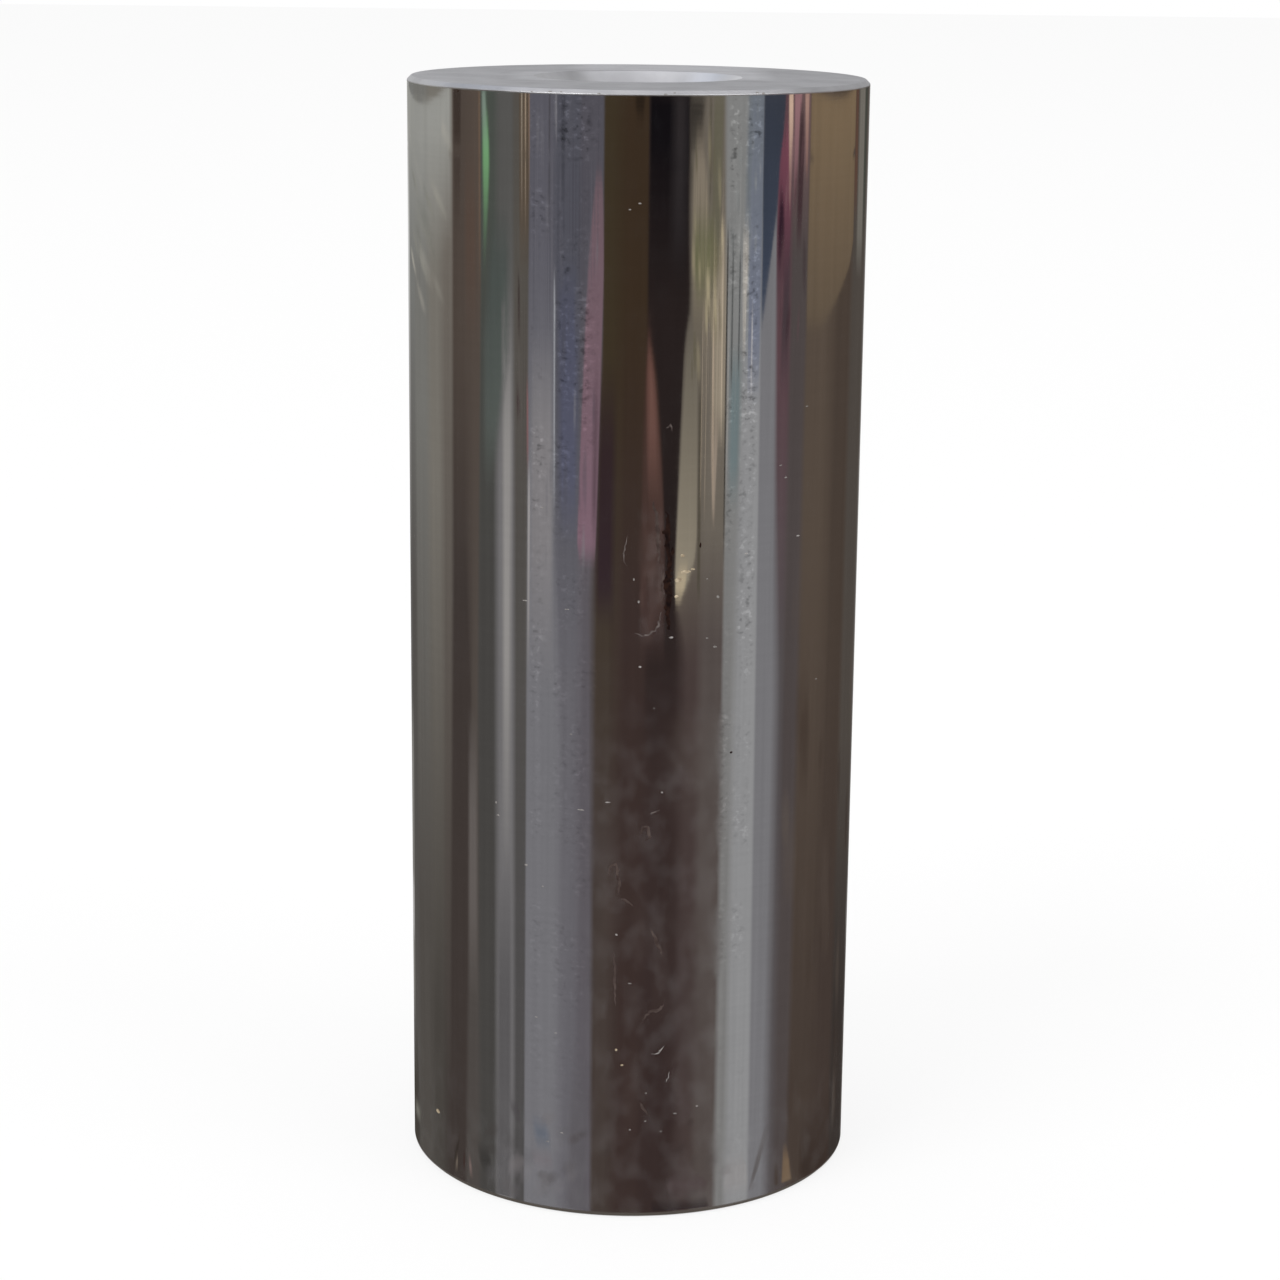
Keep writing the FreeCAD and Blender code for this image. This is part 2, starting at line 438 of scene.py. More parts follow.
def new_material(name, colour, metallic=1.0):
    """A material of one colour, with its tree."""
    material = bpy.data.materials.new(name)
    tree = Tree(material)
    tree.shade({"Base Color": (*colour, 1), "Metallic": metallic})
    return material, tree


# Nearly all noise lies in this range.
NOISE = (0.3, 0.7)

# Noise scales of the outside, per metre: the grinding, the ticks, the clouds and the smears.
GRINDING = (90, 90, 2600)
TICKS = (1700, 1700, 2300)
CLOUDS = (260, 260, 170)
SMEARS = (560, 560, 400)
GRINDING_DEPTH, TICK_DEPTH = 0.0003 * MM, 0.0005 * MM

# Angles between which short wear ticks lie and also lift the base colour as a painted glint, with their
# soft edge, and a wider faint patch of the same.
TICK_GLINT_COLUMNS = [(-24.6, -22.8), (-19, -16.2), (-14.2, -11.6), (22.9, 23.8), (26.6, 29.6)]
TICK_EDGE, TICK_GLINT_PATCH, PATCH_WEAR_AND_GLINT = 1.4, (-25, -9, 1), 0.35

# Where film lies: angles and heights with a soft edge for the oval stain, and for the
# handled middle and the foot the heights between which it fades.
HANDLED, HANDLED_TOP, FOOT_TOP = (-6, 22, 7), (40, 52), (4, 13)
OVAL_ANGLES, OVAL_HEIGHTS = (2, 6.5, 2), (53.5, 62, 2)


def ground_finish():
    """Mirror-ground outside. Fine marks run round it, and short wear ticks lie in a few columns,
    where they also lift the base colour as a painted glint that fades towards the foot. A thin
    uneven film of dust and old oil dulls it where it was handled and near its foot."""
    material, tree = new_material("ground_outside", STEEL)
    angle, height = tree.round_place()
    marks = tree.noise(GRINDING, 4)
    ticks = tree.noise(TICKS, 3)
    cloud = tree.noise(CLOUDS, 4, (3.1, 0.4, 1.7))
    smears = tree.noise(SMEARS, 5, (5.3, 1.1, 0.6))

    wear_and_glint = tree.times(tree.within(angle, *TICK_GLINT_PATCH), PATCH_WEAR_AND_GLINT)
    for low, high in TICK_GLINT_COLUMNS:
        wear_and_glint = tree.sum("MAXIMUM", wear_and_glint, tree.within(angle, low, high, TICK_EDGE))
    upward = tree.remap(height, 10, 80, 0.1, 1)
    wear_and_glint = tree.times(wear_and_glint, upward, tree.remap(cloud, 0.42, 0.58, 0.1, 1.2))
    # Painted glint: in these columns the lighter ticks raise the base colour and the darker ones lower it,
    # beside the real tick bump.
    light = tree.times(tree.remap(ticks, 0.56, 0.68, 0, 0.42), wear_and_glint)
    dark = tree.times(tree.remap(ticks, 0.45, 0.3, 0, 0.44), wear_and_glint)
    grain = tree.remap(marks, *NOISE, 0.985, 1.015)
    factor = tree.sum("SUBTRACT", tree.sum("ADD", grain, light), dark)

    handled = tree.times(tree.within(angle, *HANDLED), tree.remap(height, *HANDLED_TOP, 1, 0))
    oval = tree.times(tree.within(angle, *OVAL_ANGLES), tree.within(height, *OVAL_HEIGHTS))
    touched = tree.sum("MAXIMUM", handled, oval)
    touched = tree.sum("MAXIMUM", touched, tree.remap(height, *FOOT_TOP, 0.9, 0.1))
    film = tree.times(touched, tree.remap(smears, 0.45, 0.7, 0, 0.035))
    hazy = tree.times(touched, tree.remap(cloud, 0.44, 0.64, 0, 0.16))
    grinding = tree.bump(marks, GRINDING_DEPTH)
    tree.shade({
        "Base Color": tree.scaled(STEEL, factor),
        "Metallic": tree.sum("SUBTRACT", 1.0, film),
        "Roughness": tree.sum("ADD", tree.remap(marks, *NOISE, 0.03, 0.045), hazy),
        "Normal": tree.bump(tree.times(ticks, wear_and_glint), TICK_DEPTH, grinding),
    })
    return material


# Places on the end faces whose base colour is painted brighter as highlights, and one painted
# duller: left, right, front, back and soft edge in mm, then how much brighter or duller.
PAINTED_FACE_LIGHT = [
    (-4, 9, 10, 20, 3, 0.36), (5.5, 10, -3, 7, 2, 0.38), (-10, -6, -6, 5, 1.5, 0.22),
    (-6, 4, 5, 9.2, 1, -0.08),
]
FACE_GRAIN, FACE_PATCHES, BORE_GRAIN = (2500, 2500, 2500), (260, 260, 260), (400, 400, 4000)
FACE_DEPTH = 0.004 * MM


def turned_finish():
    """Satin end faces and chamfers, with highlights painted into the base colour in a few places and one
    place painted duller.
    """
    material, tree = new_material("turned_ends", STEEL)
    grain = tree.noise(FACE_GRAIN, 3)
    factor = tree.remap(tree.noise(FACE_PATCHES, 5, (0.7, 2.9, 0)), 0.35, 0.65, 0.88, 1.06)
    place = tree.split_place()
    # Painted highlights: these places raise the base colour, and one lowers it.
    for left, right, front, back, edge, painted_lift in PAINTED_FACE_LIGHT:
        across = tree.within(place["X"], left * MM, right * MM, edge * MM)
        along = tree.within(place["Y"], front * MM, back * MM, edge * MM)
        factor = tree.sum("ADD", factor, tree.times(across, along, painted_lift))
    tree.shade({
        "Base Color": tree.scaled(STEEL, factor),
        "Roughness": tree.remap(grain, *NOISE, 0.33, 0.42),
        "Normal": tree.bump(grain, FACE_DEPTH),
    })
    return material


def bored_finish():
    """Plain bore, duller than the outside."""
    material, tree = new_material("plain_bore", STEEL)
    tree.shade({"Roughness": tree.remap(tree.noise(BORE_GRAIN, 3), *NOISE, 0.25, 0.4)})
    return material


def mark_finish(name, dark, light, fineness):
    """Dry marks that lie on the steel, patchy between two colours."""
    material, tree = new_material(name, dark, 0.0)
    share = tree.remap(tree.noise((fineness,) * 3), 0.35, 0.65, 0, 1)
    colours = {"Factor": share, "A": (*dark, 1), "B": (*light, 1)}
    mix = tree.node("Mix", colours, data_type="RGBA")
    tree.shade({"Base Color": mix.outputs["Result"], "Specular IOR Level": 0.0, "Roughness": 0.5})
    return material


# Reflection cards: they stand on a ring round the pin or lie on the bench, a higher layer nearer.

CARD_MATERIAL = "card"
RING_RADIUS = 1.2
LAYER_GAP = 0.03
BENCH_HEIGHT, BENCH_STEP = 0.2 * MM, 0.15 * MM
ROW_STEP = 2.0
WALL_TOP = 0.9
IMAGE_TOP, IMAGE_FOOT = 97.4, 0.5
LEFT_RIM, RIGHT_RIM = -85.4, 85.4
WINDOW = (130, 130, 133)
BACK_WALL = (143, 143, 145)
LEFT_WALL = (170, 170, 172)


def on_pin(angle, height):
    """A point of the pin's outside. Angle 0 faces the front, and +X is positive."""
    turn = math.radians(angle)
    return Vector((PIN_RADIUS * math.sin(turn), -PIN_RADIUS * math.cos(turn), height))


def shine_at(angle, height):
    """Share of light that steel sends back to the camera from a place on the outside."""
    view = (CAMERA_PLACE - on_pin(angle, height)).normalized()
    facing = abs(view.dot(on_pin(angle, 0).normalized()))
    return [share + (1 - share) * (1 - facing) ** 5 for share in STEEL]


def behind_image(angle, height, layer):
    """Where the thing stands whose image the camera sees at a place on the pin."""
    point = on_pin(angle, height)
    normal = on_pin(angle, 0).normalized()
    arriving = (point - CAMERA_PLACE).normalized()
    leaving = arriving - 2 * arriving.dot(normal) * normal
    flat = Vector((leaving.x, leaving.y))
    foot = Vector((point.x, point.y))
    ring = RING_RADIUS - layer * LAYER_GAP
    forward = foot.dot(flat) / flat.length
    reach = (math.sqrt(forward**2 - foot.length_squared + ring**2) - forward) / flat.length
    bench = BENCH_HEIGHT + layer * BENCH_STEP
    if point.z + reach * leaving.z < bench:
        reach = max(0.0, (bench - point.z) / leaving.z)
    return point + leaving * reach


def light_of(tone, shares):
    """The light a card gives off so that its image on steel has this tone."""
    return [part / share for part, share in zip(linear(tone), shares)]


def blend(first, second, share):
    """Part way between two numbers or two equally long tuples."""
    if isinstance(first, tuple):
        return tuple(blend(a, b, share) for a, b in zip(first, second))
    return first + (second - first) * share


def row_at(rows, height):
    """The values of a card's rows at a height between them."""
    if height >= rows[0][0]:
        return rows[0][1:]
    for upper, lower in zip(rows, rows[1:]):
        if height >= lower[0]:
            share = (upper[0] - height) / (upper[0] - lower[0])
            return blend(upper[1:], lower[1:], share)
    return rows[-1][1:]


def heights_between(top, foot):
    """Heights from the top of an image to its foot, at most one row step apart."""
    count = max(1, math.ceil((top - foot) / ROW_STEP))
    return [top + (foot - top) * step / count for step in range(count + 1)]


# The room round the pin, from its image at the left rim to that at the right rim. Each thing
# has the tone of the wall above its image, its own upper and lower tone, the two heights in mm
# between which one turns into the other, and its right edge as (height, angle, softness).
ROOM = dict(
    bright_rim_left=(LEFT_WALL, (204, 204, 203), (101, 99, 97), 84, 56, (97, -79.2, 2.5)),
    rim_shade=(LEFT_WALL, (116, 116, 113), (82, 79, 76), 80, 52, (97, -72, 3)),
    grey_wall=(LEFT_WALL, (113, 112, 108), (79, 75, 71), 70, 24, (97, -62, 4)),
    green_grey_wall=(LEFT_WALL, (115, 111, 104), (71, 67, 63), 64, 16, (97, -55, 3)),
    wall_corner=(LEFT_WALL, (108, 102, 95), (64, 58, 55), 84, 4, (97, -50, 0.8), (56, -50.6, 1.4),
        (0.5, -53, 1.4)),
    dark_door=(None, (76, 67, 61), (62, 55, 52), 76, 56, (60, -44, 4), (46, -43.6, 1), (0.5, -46, 1.5)),
    door_edge=(None, (82, 72, 65), (76, 71, 68), 86, 20, (80, -40.1, 0.6), (46, -41.3, 1),
        (0.5, -41, 2)),
    green_shade=(None, (71, 75, 70), (69, 67, 65), 90, 56, (97, -35.2, 2)),
    pale_shade=(None, (84, 83, 81), (110, 108, 109), 86, 66, (97, -30.4, 1), (48, -30, 1.4)),
    dark_post=(None, (82, 78, 73), (77, 75, 75), 80, 24, (97, -26, 0.5), (0.5, -27, 0.5)),
    slate_left=(WINDOW, (88, 87, 95), (113, 112, 116), 86, 66, (97, -19.5, 1), (60, -19.3, 1.2),
        (42, -17.8, 3)),
    slate_right=(WINDOW, (79, 79, 87), (101, 99, 104), 76, 48, (97, -13.3, 1), (40, -13, 3)),
    slate_far=(WINDOW, (80, 78, 85), (91, 87, 92), 86, 60, (78, -7.7, 0.5), (56, -9.8, 2.4),
        (30, -9.4, 1.2), (0.5, -9.2, 1)),
    olive_fold=(None, (59, 50, 37), (68, 59, 55), 74, 36, (97, -4, 4)),
    olive_coat=(None, (56, 44, 33), (58, 46, 43), 80, 56, (97, 2.6, 0.3), (64, 3, 1), (40, 3, 3)),
    black_doorway=(None, (38, 31, 30), (55, 44, 42), 60, 40, (88, 12.4, 1), (80, 13, 1),
        (77, 11.6, 0.6), (70, 10.9, 0.4), (57, 9.8, 0.5), (51, 12, 3)),
    sacking_left=(None, (98, 91, 82), (69, 58, 56), 60, 50, (97, 16.4, 2)),
    sacking_right=(None, (104, 97, 88), (82, 74, 71), 62, 52, (97, 20.7, 1), (72, 22.2, 0.5),
        (0.5, 22.6, 1.5)),
    silver_left=(WINDOW, (125, 125, 124), (121, 120, 119), 80, 50, (97, 26.6, 1), (46, 25.5, 2)),
    silver_window=(WINDOW, (106, 111, 118), (139, 139, 140), 86, 72, (97, 30.8, 0.3), (0.5, 32.3, 1)),
    lilac_shutter=(None, (62, 63, 71), (116, 115, 118), 89, 86, (97, 37, 0.4), (86, 35.1, 0.4),
        (66, 36.2, 1.5), (46, 38, 3)),
    plum_left=(None, (88, 66, 71), (82, 77, 78), 76, 50, (97, 39.6, 1), (30, 40.4, 2)),
    plum_curtain=(None, (100, 80, 80), (76, 69, 68), 94, 84, (97, 45.2, 0.5), (56, 45.4, 2)),
    cupboard_left=(BACK_WALL, (84, 73, 64), (70, 60, 54), 60, 16, (97, 56, 6)),
    cupboard_right=(BACK_WALL, (71, 61, 54), (66, 56, 51), 50, 20, (97, 66.5, 3)),
    dark_shelf=(BACK_WALL, (76, 70, 65), (56, 50, 47), 40, 14, (97, 81, 4)),
    bright_rim_right=(BACK_WALL, (134, 131, 128), (112, 108, 105), 60, 20, (97, RIGHT_RIM, 0)),
)


# Things in the room, each a card: its layer, how soft its sides are in degrees and its two
# ends in mm, its tone or its upper and lower tone, then its outline from the top down as
# (height in mm, left and right angle).
DETAILS = dict(
    lit_wall=(1, 1.6, 0, 12, (152, 152, 147), (97.4, -83, -49.9), (84, -83, -49.9)),
    rim_glow=(1, 2, 5, 3, (128, 126, 122), (43, -85, -76.6), (12, -85, -78)),
    rim_glint=(2, 1.2, 1.5, 2, (168, 166, 165), (26.5, -84.8, -78.4), (19.5, -84.8, -78.4)),
    door_glow=(1, 1.2, 9, 9, (97, 91, 88), (45, -45, -41.2), (18, -45.4, -41.2)),
    shade_foot=(1, 1, 14, 0, (89, 87, 88), (34, -35, -30.4), (0.6, -35.4, -30.4)),
    slate_glow=(1, 1, 9, 12, (126, 123, 125), (78, -25.6, -19.6), (48, -25.8, -19.4)),
    doorway_top=(1, 0.5, 0, 14, (16, 14, 17), (97.4, 2.8, 12.3), (80, 2.8, 12.2)),
    sack_shadow=(1, 1, 0, 6, (50, 46, 42), (97.4, 11.6, 16.4), (89, 11.6, 14)),
    straw_glow=(1, 1.2, 5, 4, (146, 135, 119), (88, 17.8, 22), (68, 18, 22.2)),
    plum_shade=(1, 0.8, 4, 6, (66, 55, 59), (87, 37.4, 39.8), (72, 36.6, 39.8)),
    green_lamp=(1, 0.7, 3, 8, ((120, 176, 120), (84, 102, 82)), (96.6, -39.5, -38), (92, -39.7, -36.9),
        (88, -39.5, -37.4), (82, -39.6, -38.6)),
    lamp_top=(2, 0.5, 0, 4, (124, 138, 128), (97.4, -39.9, -38.4), (92, -39.6, -37.4)),
    door_dark=(1, 0.8, 0, 9, (58, 49, 44), (97.4, -49.9, -46.4), (85, -49.6, -47)),
    door_red=(1, 1.6, 6, 8, (83, 69, 61), (93, -46, -40.8), (76, -46, -41)),
    door_light=(1, 0.3, 0, 6, ((104, 86, 72), (92, 78, 68)), (97.4, -40.9, -40), (80, -40.8, -39.9)),
    teal_shade=(1, 2, 5, 6, ((68, 74, 71), (86, 91, 87)), (88, -37, -30.5), (76, -39.8, -31),
        (64, -39.8, -36)),
    pale_line=(1, 1.2, 14, 20, (141, 138, 136), (82, -33.8, -30), (30, -33.8, -30.8)),
    tan_back=(1, 0.3, 0, 6, (83, 72, 61), (97.4, -28.9, -25.9), (82, -28.7, -26)),
    tan_line_left=(2, 0.2, 0, 4, ((158, 146, 130), (112, 101, 91)), (97.4, -28.3, -27.8),
        (86, -28.2, -27.8)),
    tan_line_middle=(2, 0.2, 0, 4, ((168, 150, 130), (114, 102, 90)), (97.4, -27.3, -26.8),
        (85, -27.2, -26.8)),
    tan_line_right=(2, 0.2, 0, 3, ((150, 124, 106), (108, 92, 80)), (97.4, -26.3, -25.9),
        (88, -26.2, -25.8)),
    dark_clip_upper=(1, 0.3, 1, 1, (59, 51, 49), (83, -29.2, -28.4), (76.5, -29.1, -28.3)),
    dark_clip_lower=(1, 0.4, 1, 1, (63, 51, 51), (73.5, -29.6, -28.4), (70, -29.6, -28.2)),
    red_line=(1, 0.25, 1, 2, (134, 92, 94), (74, -26.7, -26.1), (66, -26.6, -26)),
    edge_line=(1, 0.25, 3, 6, ((162, 158, 158), (134, 131, 131)), (67, -26.3, -25.5),
        (48, -26.5, -25.7)),
    slate_line_top=(1, 0.2, 0, 1, (128, 126, 131), (97.4, -19.5, -19), (93, -19.4, -19)),
    slate_line=(1, 0.2, 2, 5, (148, 149, 154), (83, -19.8, -19.2), (62, -19.6, -19.1)),
    slate_gap_left=(1, 0.3, 0, 4, (71, 69, 74), (97.4, -21.2, -20.5), (85, -21.2, -20.6)),
    slate_gap_right=(1, 0.4, 0, 3, (63, 63, 70), (97.4, -18.1, -16.8), (88, -18, -16.9)),
    blue_panel=(1, 1.5, 5, 6, ((76, 78, 94), (86, 87, 104)), (84, -19, -13), (60, -18.6, -13)),
    pink_cloth=(2, 0.3, 1.5, 1, ((106, 88, 94), (124, 98, 110)), (91.5, -9.4, -8), (88, -10.4, -7.6),
        (83, -11.5, -7.4), (70, -12.9, -8.2), (60, -13.7, -8.9), (58.4, -13, -9.3)),
    pink_fold=(3, 1, 4, 4, ((96, 76, 84), (86, 68, 76)), (76, -10, -8), (60, -10.4, -8.8)),
    plum_fold=(1, 1.6, 7, 4, ((48, 36, 36), (50, 38, 43)), (76, -9, -3.6), (53, -9.8, -4.2)),
    coat_notch=(1, 0.6, 0, 1.5, (33, 26, 21), (97.4, -1, 2), (95, -0.4, 1.4)),
    doorway_haze=(2, 2.2, 0, 7, (43, 39, 40), (97.4, 7.4, 12.6), (82, 7, 12.4)),
    jacket_body=(1, 0.8, 6, 6, ((64, 46, 39), (72, 56, 53)), (80, 2.6, 3.4), (74, 2, 5.6),
        (68, 1.6, 6.8), (60, 1.4, 7.8), (50, 1.6, 8)),
    red_jacket=(2, 0.5, 3, 6, ((94, 65, 57), (58, 47, 44)), (78.5, 2.8, 3.4), (74, 2.4, 5),
        (69, 2.6, 6.2), (64, 3.2, 7.2), (54, 2.8, 8)),
    jacket_light=(3, 1, 3, 5, ((112, 80, 72), (92, 68, 62)), (77, 2.8, 4), (71, 2.8, 5.6),
        (64, 2.6, 6.4)),
    cream_column=(1, 0.3, 3, 1, ((98, 92, 82), (142, 133, 117)), (79, 12.4, 14.4), (74, 11.7, 15),
        (69, 11, 15.2), (60, 10.1, 15.4), (58, 10, 14.6), (56.5, 9.9, 12.6), (55, 9.9, 11)),
    column_shade=(2, 0.3, 2, 2, (80, 74, 64), (74, 15.1, 16), (55, 15.4, 16.4)),
    cream_patch_left=(2, 0.6, 4, 6, ((134, 123, 109), (108, 100, 86)), (95, 13.8, 14.8),
        (91, 12.9, 16.6), (88, 12.8, 17.2), (83, 13, 17.4), (76, 13.4, 17)),
    cream_patch_right=(2, 0.5, 0, 5, (95, 91, 77), (97.4, 17.6, 20.6), (80, 17.6, 20)),
    patch_gap=(2, 0.3, 0, 2, (77, 71, 61), (97.4, 16.6, 17.5), (88, 17, 17.6)),
    moss_band=(3, 1, 3, 3, (100, 99, 74), (88.5, 13, 18.4), (84, 13, 20), (80, 13.6, 18)),
    straw_tail=(3, 0.3, 3, 1, (141, 128, 115), (72, 18, 20.6), (66, 18.5, 20), (61.5, 19.1, 19.6)),
    sack_edge=(3, 0.15, 2, 4, (45, 42, 39), (87, 21.6, 22.1), (58, 21.9, 22.3)),
    sack_edge_light=(3, 0.12, 2, 4, (144, 142, 138), (80, 22.3, 22.7), (64, 22.3, 22.7)),
    column_fold=(4, 0.3, 0.6, 0.8, (180, 165, 138), (59, 11.4, 13.6), (58, 10.3, 14.8),
        (57, 10.1, 12.8), (55, 10, 11)),
    straw_line_left=(4, 0.25, 3, 5, (174, 156, 137), (80, 18.2, 18.8), (62, 18.9, 19.4)),
    straw_line_right=(4, 0.2, 2, 4, (180, 166, 146), (84, 20.4, 20.9), (68, 20.8, 21.2)),
    silver_gap_left=(2, 0.2, 1, 1, (72, 74, 73), (86, 23, 23.5), (73, 23, 23.6)),
    silver_gap_right=(2, 0.2, 1, 2, (70, 72, 73), (85, 24.8, 25.4), (74, 24.9, 25.4)),
    white_slat=(2, 0.3, 2, 3, (166, 161, 154), (87, 25.6, 27.5), (75, 26, 27)),
    white_line=(2, 0.15, 1, 1, (166, 164, 166), (80, 28.4, 28.9), (71.5, 28.5, 28.9)),
    teal_glass=(1, 1.2, 3, 4, (106, 118, 120), (77, 22.5, 26.6), (63, 22.5, 26)),
    blue_frame=(1, 0.3, 0, 5, ((106, 111, 119), (112, 116, 132)), (97.4, 27.6, 30.9), (72, 27.4, 31)),
    blue_wedge=(2, 0.3, 0, 1, ((52, 56, 66), (58, 66, 82)), (97.4, 30.9, 37.3), (92, 30.9, 36.3),
        (88, 30.9, 35.2), (84, 31, 33.8), (78, 31, 31.4)),
    red_plum=(3, 0.5, 2, 7, ((118, 68, 82), (70, 52, 59)), (95.4, 37, 38.2), (91.5, 35.3, 39.2),
        (87, 34.9, 39.6), (79, 35.3, 39)),
    plum_dark=(4, 0.7, 2, 3, (46, 28, 39), (90, 35.8, 37), (86.5, 35.2, 37.7), (82, 35.3, 37.6)),
    cream_flap=(4, 0.3, 0, 2, ((206, 177, 155), (120, 92, 90)), (97.4, 37.8, 39.4), (94.5, 38, 39.6),
        (91, 38.3, 39.4), (87, 38.6, 39.1)),
    mauve_flap=(3, 0.4, 0, 3, ((150, 112, 116), (104, 78, 82)), (97.4, 39.6, 42.4), (94, 39.8, 41.6),
        (87, 39.9, 41)),
    flap_fold=(4, 0.5, 1, 3, (63, 47, 50), (96.6, 41.4, 43), (91, 41.2, 43.4), (84, 41, 43)),
    cream_flap_right=(4, 0.3, 0, 2, ((172, 138, 126), (108, 82, 77)), (97.4, 43, 44.7),
        (89.5, 43.9, 44.7)),
    plum_shadow=(3, 1, 3, 3, (58, 47, 49), (86, 43.2, 45), (80, 43.4, 45.1)),
    tan_board=(1, 0.4, 0, 0.8, ((119, 101, 79), (92, 80, 67)), (97.4, 45.2, 66.4), (83.5, 45.2, 67),
        (82, 45.2, 64), (79, 45.3, 56), (77.8, 45.3, 50.5), (77, 45.3, 47)),
    red_seam=(2, 0.8, 0, 3, (88, 66, 56), (97.4, 66, 68.6), (86, 66.4, 69.4)),
    pale_panel=(2, 1.6, 0, 4, (109, 105, 98), (97.4, 68.4, 75.6), (88, 68.8, 76), (81, 69, 75.6)),
    green_seam=(3, 1.4, 0, 4, (65, 67, 61), (97.4, 74, 78), (84, 74.6, 78.6)),
    foot_shade_left=(1, 2, 6, 0, (64, 60, 55), (12, -85, -74), (0.6, -85, -72)),
    foot_shade_right=(1, 2, 6, 0, (58, 48, 43), (8, 50, 68), (0.6, 50, 68)),
    foot_light_far=(2, 0.8, 0.8, 0.8, (118, 116, 108), (4.8, -79.6, -73), (2.6, -78, -72)),
    foot_green=(2, 1, 0.6, 0.5, (94, 92, 78), (4.3, -67.8, -63.4), (2.6, -66.3, -62.2)),
    foot_dark_far=(2, 0.5, 1, 0.5, (56, 52, 46), (3.3, -54, -52.6), (1.6, -55.6, -54)),
    foot_dark_left=(2, 0.5, 1, 0.3, (50, 44, 40), (4.6, -49.2, -48), (1.3, -52.4, -50.8)),
    foot_light_left=(2, 0.4, 0.6, 0.3, (110, 100, 90), (3.2, -50.1, -49.1), (1, -51, -49.6)),
    foot_red=(2, 0.3, 0.6, 0.3, (60, 45, 42), (3.7, -47.1, -46.3), (1.2, -47.6, -46.6)),
    foot_pink=(2, 0.4, 0.6, 0.3, (112, 96, 92), (3.5, -45.2, -44.1), (1, -45, -43.5)),
    foot_pool=(2, 0.8, 1, 0.6, (50, 48, 46), (4.9, -42, -37.3), (1.9, -40.3, -36.7)),
    foot_light_middle=(3, 0.4, 0.4, 0.3, (100, 96, 92), (2.4, -43.8, -42.6), (1.2, -41.8, -40.2)),
    foot_pale=(2, 0.6, 0.5, 0.4, (112, 108, 108), (3.8, -37.3, -35.4), (2.1, -34.8, -33)),
    foot_shade_high=(2, 0.8, 1, 0.8, (70, 66, 68), (9.9, -31.8, -28.4), (7.7, -29.5, -27.8)),
    foot_shade_low=(2, 0.6, 1, 0.8, (71, 69, 70), (5.2, -30.4, -28.6), (2.9, -29.2, -27.6)),
    foot_teal=(2, 0.8, 0.6, 0.6, (98, 106, 110), (10, -25.1, -21.9), (8.3, -25.1, -21.9)),
    foot_blue=(3, 1.6, 1.2, 1.2, (96, 101, 111), (9, -24.8, -19.4), (5.6, -24.8, -19.4)),
    foot_slate_light=(2, 1, 0.6, 0.6, (114, 110, 114), (6, -25, -18.7), (3.6, -25, -18.7)),
    foot_slate_dark=(2, 2, 8, 0, (92, 89, 93), (16, -15, -9.4), (0.6, -16, -9.4)),
    foot_arc=(2, 1, 0.6, 0.6, (78, 67, 67), (4.2, 12, 18), (2.8, 9, 21.6), (1.8, 10, 20)),
    foot_arc_dark=(3, 1, 0.5, 0, (46, 38, 38), (1.8, 6, 21.5), (0.6, 6, 21.5)),
    foot_silver=(2, 0.8, 1, 0.3, (141, 139, 139), (5.2, 26, 31), (3.4, 25, 32.6), (1.1, 24.6, 32.4)),
    foot_band=(3, 0.6, 2.4, 0.4, (94, 90, 90), (7.4, 37.6, 39.8), (4.7, 34.9, 37.1), (1.9, 32.7, 34.2),
        (1.1, 31.4, 32.6)),
    foot_sliver=(3, 0.4, 0.5, 0.3, (110, 106, 108), (2.9, 37.2, 38.7), (0.9, 35.3, 36.6)),
    foot_dark_right=(2, 0.4, 0.8, 0, (66, 56, 50), (3.3, 40.9, 42.5), (1, 41.1, 42.6)),
    foot_tan=(2, 0.5, 1, 0, (112, 94, 76), (4.9, 43.9, 45.6), (1, 43.5, 47.7)),
)


class Card:
    """A card under way. Each point has a light, a cover and its place in the picture."""

    def __init__(self, name, layer=0):
        self.name, self.layer, self.mesh = name, layer, bmesh.new()
        self.light = self.mesh.verts.layers.float_color.new("tone")
        self.place = self.mesh.verts.layers.float_vector.new("picture_place")

    def point(self, where, light, cover=1.0, place=(0, 0, 0)):
        """A point that stands at a place in the room."""
        vertex = self.mesh.verts.new(where)
        vertex[self.light] = (*light, cover)
        vertex[self.place] = place
        return vertex

    def image(self, angle, height, tone, cover=1.0, deeper=0.0):
        """A point whose image on the pin lies at an angle and a height in mm."""
        where = behind_image(angle, height * MM, self.layer + deeper)
        light = light_of(tone, shine_at(angle, height * MM))
        return self.point(where, light, cover, (angle, height, self.layer))

    def join(self, lines):
        """Faces between neighbouring lines of points."""
        for upper, lower in zip(lines, lines[1:]):
            for index in range(len(upper) - 1):
                self.mesh.faces.new((upper[index], upper[index + 1], lower[index + 1], lower[index]))

    def finish(self, lines=()):
        """Joins the last lines and puts the card where only reflections see it."""
        self.join(lines)
        card = new_object(self.name, self.mesh, bpy.data.materials[CARD_MATERIAL])
        card.visible_camera = False
        card.visible_diffuse = False
        card.visible_transmission = False
        card.visible_shadow = False


def add_card(name, layer, soft, top_end, foot_end, tone, *outline):
    """A card whose image on the pin has this outline. Its sides and its two ends fade."""
    card = Card(name, layer)
    upper, lower = tone if isinstance(tone[0], tuple) else (tone, tone)
    top, foot = outline[0][0], outline[-1][0]
    lines = []
    for height in heights_between(top, foot):
        left, right = row_at(outline, height)
        tone = blend(upper, lower, (top - height) / (top - foot))
        fade = 1.0
        for end, distance in ((top_end, top - height), (foot_end, height - foot)):
            if end:
                fade = min(fade, distance / end)
        inset = min(soft, (right - left) / 2)
        across = ((left, 0), (left + inset, fade), (right - inset, fade), (right, 0))
        lines.append([card.image(angle, height, tone, cover) for angle, cover in across])
    card.finish(lines)


